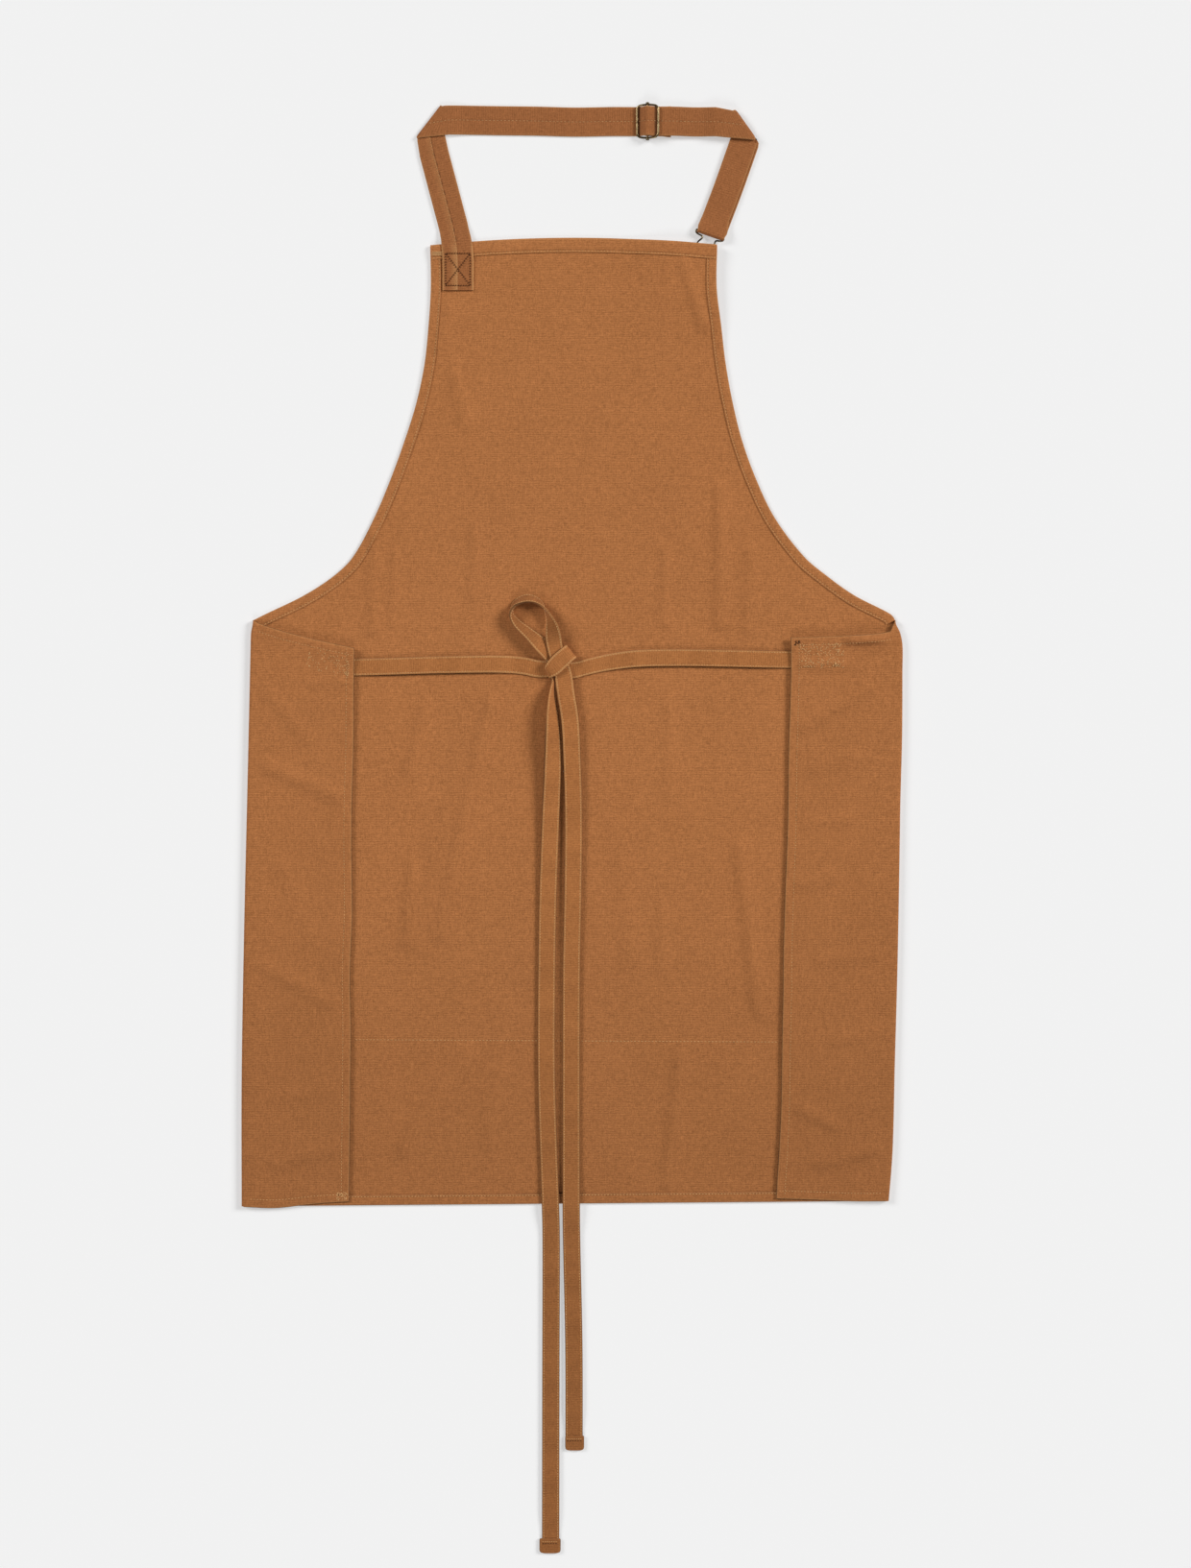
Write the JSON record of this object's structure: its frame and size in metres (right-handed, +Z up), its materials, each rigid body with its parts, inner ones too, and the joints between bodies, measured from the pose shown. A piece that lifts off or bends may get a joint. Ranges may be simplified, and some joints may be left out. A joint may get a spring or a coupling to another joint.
{
  "type": "bib apron",
  "caption": "Work apron of cotton duck laid flat, inner side up, skirt sides folded over, with adjustable neck strap and waist ties in a half bow.",
  "frame": {"origin": "on the ground, at the middle of the apron's outline without the waist ties", "axes": "+Z up out of the inner side, +Y from the hem to the neck strap, +X to the side with the hook"},
  "size_m": [0.5619, 1.238, 0.0119],
  "materials": {
    "apron_cloth": "matt cotton duck, warm brown",
    "strap_tape": "folded and topstitched cotton duck",
    "tie_tape": "narrow cotton tape, topstitched along both edges",
    "slider_metal": "antique brass wire",
    "hook_metal": "dark antique brass wire",
    "button_metal": "antique brass"
  },
  "bodies": {
    "root": {"apron_panel": "apron_cloth", "neck_strap": "strap_tape", "slider_buckle": "slider_metal", "wire_hook": "hook_metal", "bib_button": "button_metal", "tie_left": "tie_tape", "tie_right": "tie_tape"}
  },
  "joints": []
}
